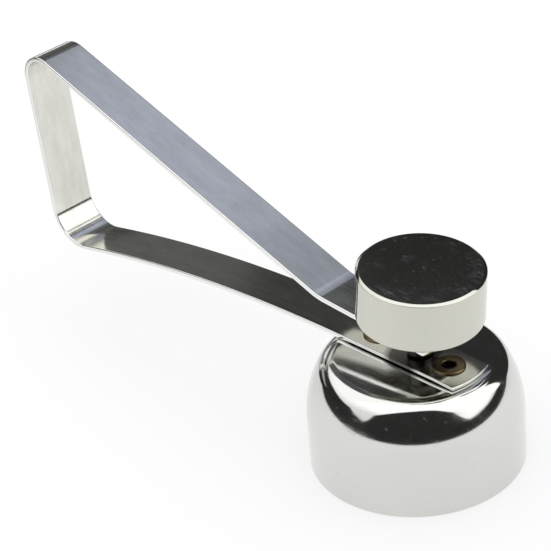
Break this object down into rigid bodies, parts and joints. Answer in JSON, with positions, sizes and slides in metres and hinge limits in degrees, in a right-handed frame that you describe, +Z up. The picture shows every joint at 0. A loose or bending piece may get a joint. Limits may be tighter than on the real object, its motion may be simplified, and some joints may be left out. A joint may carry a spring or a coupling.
{
  "type": "egg topper",
  "caption": "Bell-shaped egg shell cutter with a bent spring strip as its handle and a knob hammer that is lifted and let go.",
  "frame": {"origin": "centre of the cup's mouth, on the plane of its rim", "axes": "+Z up through the crown, the handle runs towards -X, the strip's width lies along Y"},
  "size_m": [0.1135, 0.0382, 0.0535],
  "materials": {
    "cup_steel": "polished stainless steel",
    "strip_steel": "stainless strip, brushed lengthwise",
    "rivet_steel": "tubular rivets with a brown tint",
    "knob_steel": "turned and polished stainless steel",
    "fastener_zinc": "bright zinc plate",
    "striker_steel": "turned stainless steel"
  },
  "bodies": {
    "cup_and_strip": {"cutter_cup": "cup_steel", "handle_strip": "strip_steel", "cup_rivets": "rivet_steel"},
    "hammer": {"knob": "knob_steel", "lock_nut": "fastener_zinc", "spring_washer": "fastener_zinc", "striker_pin": "striker_steel"}
  },
  "joints": [
    {"name": "knob_lift", "type": "hinge", "parent": "cup_and_strip", "child": "hammer", "pos_m": [-0.08913, 0, 0.04818], "axis": [0, -1, 0], "range_deg": [0, 7], "stiffness_Nm_per_rad": 1.4, "springref_deg": -2.86, "deforming": ["handle_strip"]}
  ]
}
